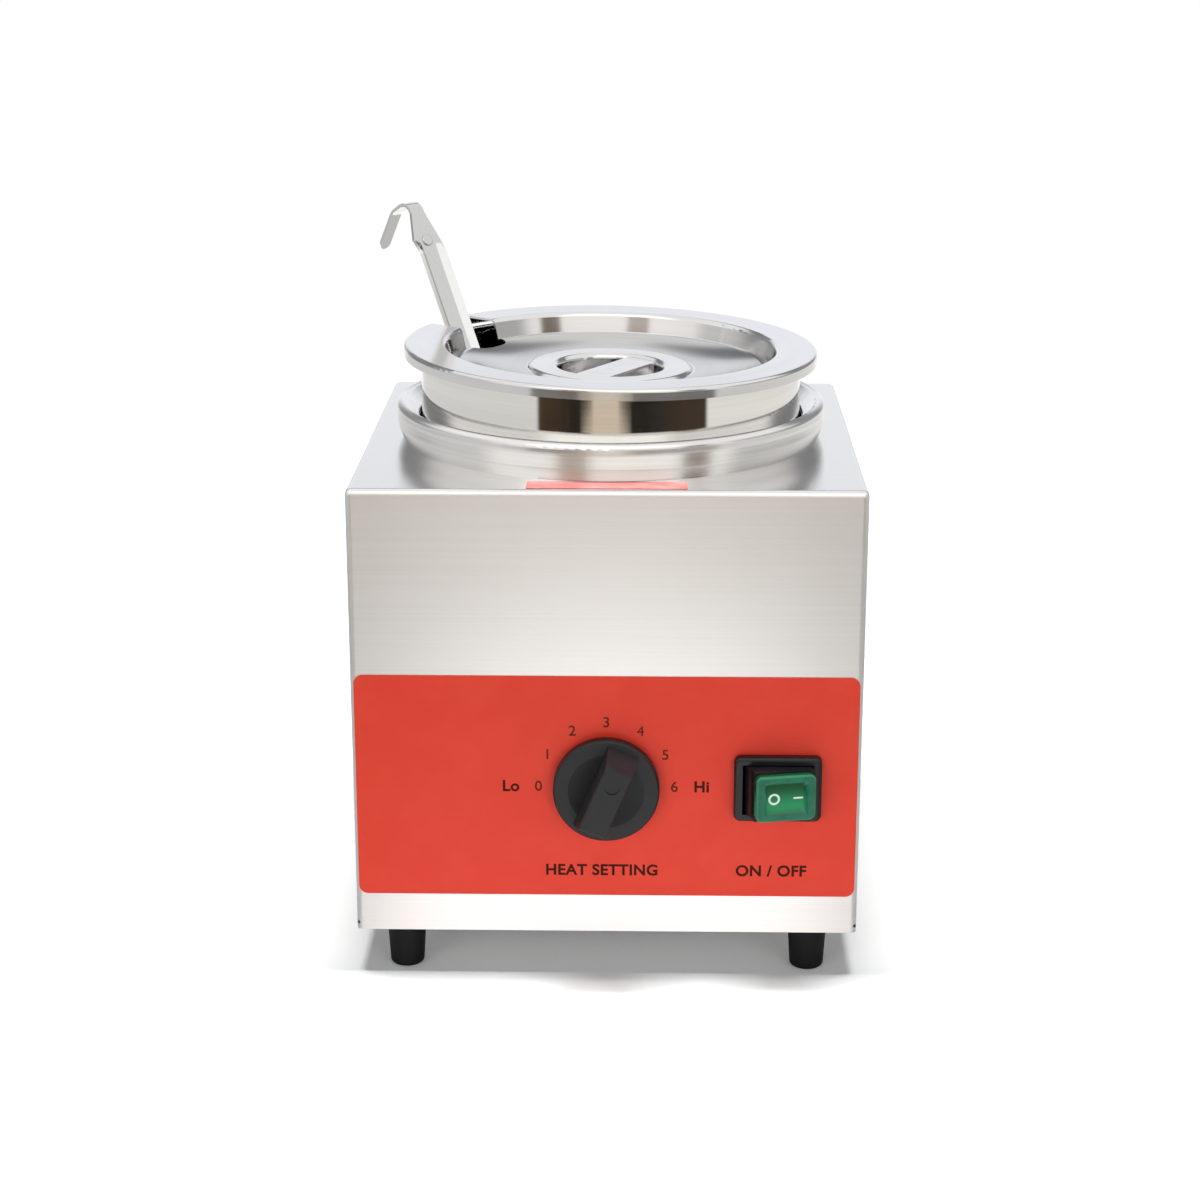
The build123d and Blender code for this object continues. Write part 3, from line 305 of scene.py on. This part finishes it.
def lit_lens(name):
    """The rocker's green lens: a pale rim round a deeper window, with painted light that brightens the window
    towards its bottom.
    """
    lens = surface(name, specular_ior_level=0.4)
    x, y, z = lens.parts(lens.place())
    turn = radians(ROCKER_TILT)
    out = (x - ROCKER_PIVOT[0] * MM) * sin(turn) - (y - ROCKER_PIVOT[1] * MM) * cos(turn)
    window = 1.0 - out.between((WINDOW_FRONT + 0.2) * MM, (WINDOW_FRONT + 1.6) * MM)
    # painted light: the window's colour brightens towards its bottom edge
    painted_glow = 1.0 - z.between((ROCKER_PIVOT[2] - 4.5) * MM, (ROCKER_PIVOT[2] + 6.0) * MM)
    clouds = lens.noise(lens.place(), 150.0, 2.0, 0.5)
    inner = lens.blend(painted_glow, tone(0, 72, 38), tone(40, 150, 96))
    rim = lens.blend(clouds.between(0.3, 0.7), tone(30, 106, 78), tone(40, 118, 90))
    lens.feed("Base Color", lens.blend(window, rim, inner))
    lens.feed("Roughness", clouds.scaled(0.14, 0.26))
    return lens.owner


def dress():
    """Gives every CAD node its finish."""
    case = brushed_sheet("brushed_case", tone(233, 231, 229), tone(227, 225, 222), 0.36, 0.15)
    panel = brushed_sheet("plain_panel", tone(214, 213, 211), tone(200, 199, 198), 0.38, 0.25, "Z")
    zinc = brushed_sheet("zinc_sheet", tone(196, 200, 202), tone(172, 177, 180), 0.42, 0.2)
    satin = {"stretch": 0.6, "relief": collar_relief}
    collar = spun_steel("satin_collar", tone(238, 237, 235), tone(224, 222, 220), 0.23, 0.45, 900.0, **satin)
    # painted shade: the well pan is steel like the collar, given a much darker tone for the shade it sits in
    well = spun_steel("well_steel_painted_shade", tone(150, 148, 145), tone(132, 130, 127), 0.34, 0.25)
    mirror = spun_steel("polished_pot", tone(236, 234, 230), tone(228, 226, 222), 0.07, 0.06, stretch=0.5)
    ringed = {"stretch": 0.7, "relief": dish_relief}
    lid = spun_steel("spun_lid", tone(224, 223, 222), tone(216, 215, 214), 0.15, 0.22, **ringed)
    ladle = brushed_sheet("satin_ladle", tone(204, 204, 203), tone(197, 197, 196), 0.24, 0.05, "Z")
    screw = brushed_sheet("screw_steel", tone(190, 189, 187), tone(164, 163, 161), 0.32, 0.2)
    sheath = spun_steel("dark_sheath", tone(96, 92, 90), tone(70, 66, 64), 0.45, 0.3)
    foil = brushed_sheet("mill_aluminium", tone(226, 227, 229), tone(206, 207, 209), 0.3, 0.2)
    copper = spun_steel("drawn_copper", tone(205, 132, 96), tone(176, 104, 74), 0.3, 0.2)
    brass = spun_steel("turned_brass", tone(212, 178, 108), tone(186, 150, 84), 0.28, 0.3)
    vinyl = {"grain": 1800.0, "depth": 0.00001, "specular_ior_level": 0.3}
    red = cast_surface("red_vinyl", tone(226, 61, 40), tone(229, 66, 45), 0.42, **vinyl)
    strip = cast_surface("strip_vinyl", tone(214, 96, 90), tone(236, 150, 144), 0.30, **vinyl)
    grip = {"grain": 2600.0, "depth": 0.00002, "specular_ior_level": 0.35}
    knob = cast_surface("knob_black", tone(24, 24, 26), tone(32, 32, 34), 0.44, **grip)
    dull = {"specular_ior_level": 0.2}
    black = {"grain": 2600.0, "depth": 0.00001, "specular_ior_level": 0.35}
    bezel = cast_surface("switch_black", tone(19, 19, 22), tone(25, 25, 29), 0.26, **black)
    rubber = cast_surface("foot_rubber", tone(14, 14, 15), tone(20, 20, 21), 0.62, 2200.0, 0.00004, **dull)
    green = lit_lens("green_lens")
    cream = cast_surface("cream_plastic", tone(222, 214, 190), tone(230, 223, 202), 0.5, 2200.0, 0.00002)
    wool = cast_surface("pressed_wool", tone(214, 204, 168), tone(232, 224, 196), 0.95, 700.0, 0.0006)
    finishes = {
        case: ["body_shell"],
        panel: ["rear_panel"],
        zinc: ["base_plate", "thermostat_body", "thermal_cutout"],
        collar: ["collar_ring"],
        well: ["well_pan"],
        mirror: ["pot"],
        lid: ["lid", "lid_strap"],
        ladle: ["ladle_handle", "ladle_bowl"],
        screw: [
            "rear_panel_screws",
            "foot_screws",
            "foot_nuts",
            "thermostat_screws",
            "thermostat_shaft",
            "clamp_studs",
            "clamp_nuts",
        ],
        sheath: ["heating_element"],
        foil: ["clamp_plate", "heat_shield"],
        copper: ["sensing_bulb"],
        brass: ["switch_blades", "earth_stud", "earth_nut"],
        red: ["front_label"],
        strip: ["caution_strip"],
        knob: ["control_knob"],
        bezel: ["switch_housing", "rocker_base", "cable_gland", "gland_locknut"],
        rubber: ["foot_front_left", "foot_front_right", "foot_back_left", "foot_back_right"],
        green: ["rocker_lens"],
        cream: ["terminal_block"],
        wool: ["floor_insulation", "wall_insulation"],
    }
    for finish, nodes in finishes.items():
        for node in nodes:
            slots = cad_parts[node].data.materials
            slots.clear()
            slots.append(finish)


# Printed marks ----------------------------------------------------------------------------------------
def printed(name, outline, place, finish, body):
    """A flat outline turned into thin ink, put in its place and given its body."""
    outline.extrude = INK_HEIGHT * MM / 2
    drawn = bpy.data.objects.new(name + ".outline", outline)
    bpy.context.scene.collection.objects.link(drawn)
    bpy.context.view_layer.update()
    mesh = bpy.data.meshes.new_from_object(drawn.evaluated_get(bpy.context.evaluated_depsgraph_get()))
    bpy.data.objects.remove(drawn)
    mesh.transform(place)
    mesh.name = name
    piece = bpy.data.objects.new(name, mesh)
    bpy.context.scene.collection.objects.link(piece)
    mesh.materials.clear()
    mesh.materials.append(finish)
    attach(piece, body)


def lettering(name, words, height, place, weight, finish):
    """Words on the front label, centred on a place across (x) and up (z), in millimetres."""
    text = bpy.data.curves.new(name, "FONT")
    text.body = words
    text.align_x = "CENTER"
    text.align_y = "CENTER"
    text.size = height * MM / CAPITAL_SHARE
    text.offset = weight * MM
    text.space_character = LETTER_SPACE
    spot = Matrix.Translation((place[0] * MM, LABEL_FACE * MM, place[1] * MM))
    printed(name, text, spot @ Matrix.Rotation(pi / 2, 4, "X"), finish, "root")


def label_print():
    """The knob's scale and the words under the knob and the switch."""
    matt = {"grain": 1800.0, "depth": 0.00001, "specular_ior_level": 0.1}
    ink = cast_surface("brown_ink", tone(86, 36, 22), tone(96, 44, 28), 0.6, **matt)
    for step in range(7):
        turn = radians(180.0 - step * SCALE_STEP)
        place = (SCALE_RADIUS * cos(turn), KNOB_Z + SCALE_RADIUS * sin(turn))
        weight = 0.0 if step == 4 else DIGIT_WEIGHT  # the 4 fills in when it is thickened
        lettering(f"scale_{step}", str(step), DIGIT_HEIGHT, place, weight, ink)
    bold = cast_surface("dark_ink", tone(58, 20, 12), tone(66, 26, 16), 0.6, **matt)
    words = {
        "scale_low": ("Lo", (-41.4, KNOB_Z)),
        "scale_high": ("Hi", (41.2, KNOB_Z)),
        "knob_word": ("HEAT SETTING", (-2.0, 49.0)),
        "switch_word": ("ON / OFF", (71.9, 49.0)),
    }
    for name, (letters, place) in words.items():
        lettering(name, letters, WORD_HEIGHT, place, WORD_WEIGHT, bold)


def loop(curve, points):
    """One closed straight-sided outline in a flat curve."""
    spline = curve.splines.new("POLY")
    spline.points.add(len(points) - 1)
    for point, (x, y) in zip(spline.points, points):
        point.co = (x * MM, y * MM, 0.0, 1.0)
    spline.use_cyclic_u = True


def arc(centre, radius, start, end, count):
    """Points along an arc, with its angles in degrees."""
    turns = [radians(start + (end - start) * step / (count - 1)) for step in range(count)]
    return [(centre[0] + radius * cos(turn), centre[1] + radius * sin(turn)) for turn in turns]


def rocker_marks():
    """The off ring and the on dash, printed on the floor of the lens's window."""
    white = cast_surface("mark_white", tone(214, 230, 218), tone(228, 240, 230), 0.4, 1800.0, 0.00001)
    ring = bpy.data.curves.new("mark_off", "CURVE")
    for radius in (MARK_RING_R + MARK_STROKE / 2, MARK_RING_R - MARK_STROKE / 2):
        loop(ring, arc(MARK_RING, radius, 0.0, 352.5, 48))
    dash = bpy.data.curves.new("mark_on", "CURVE")
    half = MARK_STROKE * 0.42
    start, end, up = MARK_DASH
    loop(dash, arc((end, up), half, -90.0, 90.0, 7) + arc((start, up), half, 90.0, 270.0, 7))
    tilt = Matrix.Rotation(radians(ROCKER_TILT), 4, "Z")
    front = Matrix.Translation((0.0, -WINDOW_FRONT * MM, 0.0)) @ Matrix.Rotation(pi / 2, 4, "X")
    place = Matrix.Translation([value * MM for value in ROCKER_PIVOT]) @ tilt @ front
    for name, curve in {"mark_off": ring, "mark_on": dash}.items():
        curve.dimensions = "2D"
        curve.fill_mode = "BOTH"
        printed(name, curve, place, white, "rocker")


# Studio ----------------------------------------------------------------------------------------------
def room_floor(room, azimuth, z, right, behind):
    """What gloss mirrors below the horizon: pale, with streaky dark cupboards ahead and a gap in them."""
    gap = (1.0 - z.between(*GAP_WAIST)) * GAP_FLARE + GAP_HALF
    off_middle = (azimuth - GAP_MIDDLE).math("ABSOLUTE")
    edge = off_middle - gap
    cupboards = edge.between(-0.8, 0.8) * azimuth.band(*CUPBOARDS, 1.5)
    left_dark = room.blend(azimuth.between(-40.0, -14.0), tone(58, 43, 28), tone(14, 14, 14))
    right_dark = room.blend(azimuth.between(12.0, 54.0), tone(12, 12, 11), tone(54, 41, 30))
    dark = room.blend(right, left_dark, right_dark)
    streaky = room.noise(room.vector(azimuth * 0.35, z * 25.0, 0.0), 1.0, 3.0, 0.6)
    dark = room.blend(streaky.between(0.52, 0.82), dark, tone(78, 58, 36))
    side = room.blend(right, tone(212, 212, 211), tone(226, 225, 222))
    ground = room.blend(off_middle.between(18.0, 34.0), tone(204, 189, 170), side)
    ground = room.blend(cupboards * (1.0 - z.between(*CUPBOARD_TOP)), ground, dark)
    return room.blend(behind, ground, tone(243, 243, 244))


def room_walls(room, azimuth, z, right, behind):
    """What gloss mirrors above the horizon: walls with two brown streaks, a ceiling and its soft light."""
    aside = azimuth.math("ABSOLUTE")
    far_side = room.blend(right, tone(204, 203, 202), tone(176, 175, 174))
    wall = room.blend(aside.between(*AT_SIDE), tone(246, 243, 240), far_side)
    wall = room.blend(azimuth.band(-27.0, -11.0, 2.0), wall, tone(156, 140, 126))
    wall = room.blend(azimuth.band(39.0, 54.0, 2.0), wall, tone(104, 84, 64))
    wall = room.blend(aside.between(*PAST_SIDE), wall, tone(138, 139, 142))
    wall = room.blend(behind, wall, tone(238, 241, 247))
    softbox = azimuth.band(*SOFTBOX["across"], 6.0) * z.band(*SOFTBOX["up"], 0.04)
    plain, bright = (CEILING_LIGHT,) * 3 + (1.0,), (SOFTBOX_LIGHT,) * 3 + (1.0,)
    walls = room.blend(z.between(*CEILING), wall, room.blend(softbox, plain, bright))
    dusk = aside.between(120.0, 135.0) * (1.0 - aside.between(176.5, 178.5)) * z.band(*DUSK_UP, 0.04)
    return room.blend(dusk, walls, tone(128, 129, 132))


def sky():
    """White to the eye, a plain weak light on everything, and a pale room in the gloss."""
    world = bpy.data.worlds.new("studio")
    bpy.context.scene.world = world
    room = Finish(world, "ShaderNodeBackground", "ShaderNodeOutputWorld")
    x, y, z = room.parts(room.node("TexCoord", output="Generated"))
    azimuth = x.math("ARCTAN2", y * -1.0) * (180.0 / pi)
    right = azimuth.between(*AHEAD)
    behind = azimuth.math("ABSOLUTE").between(*BEHIND)
    ground = room_floor(room, azimuth, z, right, behind)
    walls = room_walls(room, azimuth, z, right, behind)
    mirrored = room.blend(z.between(*HORIZON), ground, walls)

    glossy = room.node("LightPath", output="Is Glossy Ray")
    seen = room.node("LightPath", output="Is Camera Ray")
    bounce = (SKY_STRENGTH,) * 3 + (1.0,)
    room.feed("Color", room.blend(seen, room.blend(glossy, bounce, mirrored), (1.0, 1.0, 1.0, 1.0)))
    room.feed("Strength", (glossy * (1.0 - seen)).scaled(1.0, ROOM_STRENGTH))


def table():
    """A round white table top: it keeps the shadow, and gloss mirrors it brightest just round the case."""
    mesh = bpy.data.meshes.new("table_top")
    shape = bmesh.new()
    bmesh.ops.create_circle(shape, cap_ends=True, segments=128, radius=TABLE_RADIUS)
    shape.to_mesh(mesh)
    shape.free()
    top = bpy.data.objects.new("table_top", mesh)
    bpy.context.scene.collection.objects.link(top)
    white = surface("white_table", roughness=0.9, specular_ior_level=0.0, emission_strength=1.0)
    x, y, z = white.parts(white.place())
    radius = (x * x + y * y) ** 0.5
    aside = x.math("ABSOLUTE")
    outside = aside.math("MAXIMUM", y.math("ABSOLUTE")).between(*CASE_EDGE)
    middle = 1.0 - aside.between(*TABLE_MIDDLE)
    sheen = radius.between(*SHEEN_RISE) * (1.0 - radius.between(*SHEEN_FALL)) * outside
    seen = white.node("LightPath", output="Is Camera Ray")
    glossy = white.node("LightPath", output="Is Glossy Ray")
    shade = (1.0 - radius.between(*TABLE_FADE)).scaled(TABLE_FAR, TABLE_NEAR)
    shade = shade * (1.0 - glossy * (1.0 - middle) * TABLE_SIDE)
    base = white.node("CombineColor", (), {0: shade, 1: shade, 2: shade})
    # painted light: a cool tint in front of the case takes out the red light bounced from the label
    red_cast = y.band(-0.26, -0.12, 0.05) * (1.0 - aside.between(0.08, 0.16))
    bounce_cancel_tint = white.blend(red_cast, (1.0, 1.0, 1.0, 1.0), (0.89, 1.0, 1.0, 1.0))
    white.feed("Base Color", white.blend(seen, base, bounce_cancel_tint))
    lift = radius.between(*TABLE_EDGE) * TABLE_EDGE_GLOW + TABLE_GLOW
    glow = seen * lift + glossy * sheen * middle * TABLE_SHEEN
    white.feed("Emission Color", white.node("CombineColor", (), {0: glow, 1: glow, 2: glow}))
    mesh.materials.append(white.owner)


def lamp(name, place, size, power):
    """A soft rectangular lamp that lights the warmer but doesn't show in its gloss."""
    light = bpy.data.lights.new(name, "AREA")
    light.shape = "RECTANGLE"
    light.size, light.size_y = size
    light.energy = power
    fitting = bpy.data.objects.new(name, light)
    bpy.context.scene.collection.objects.link(fitting)
    fitting.location = place
    fitting.visible_glossy = False
    fitting.rotation_euler = (Vector(LAMP_AIM) - Vector(place)).to_track_quat("-Z", "Y").to_euler()


def studio():
    """The table, the room and the lamps: one over the warmer, and one to each side in front."""
    sky()
    table()
    lamp("top_box", **TOP_LAMP)
    x, y, z = SIDE_LAMP_PLACE
    lamp("left_box", (-x, y, z), **SIDE_LAMP)
    lamp("right_box", (x, y, z), **SIDE_LAMP)


def camera():
    eye = bpy.data.cameras.new("camera")
    eye.lens = CAMERA_LENS
    eye.sensor_width = SENSOR_WIDTH
    eye.clip_start = 0.01
    holder = bpy.data.objects.new("camera", eye)
    holder.location = CAMERA_PLACE
    holder.rotation_euler = (radians(CAMERA_PITCH), 0.0, radians(CAMERA_YAW))
    bpy.context.scene.collection.objects.link(holder)
    bpy.context.scene.camera = holder
    bpy.context.scene.view_settings.view_transform = "Standard"


camera()
studio()
dress()
label_print()
rocker_marks()
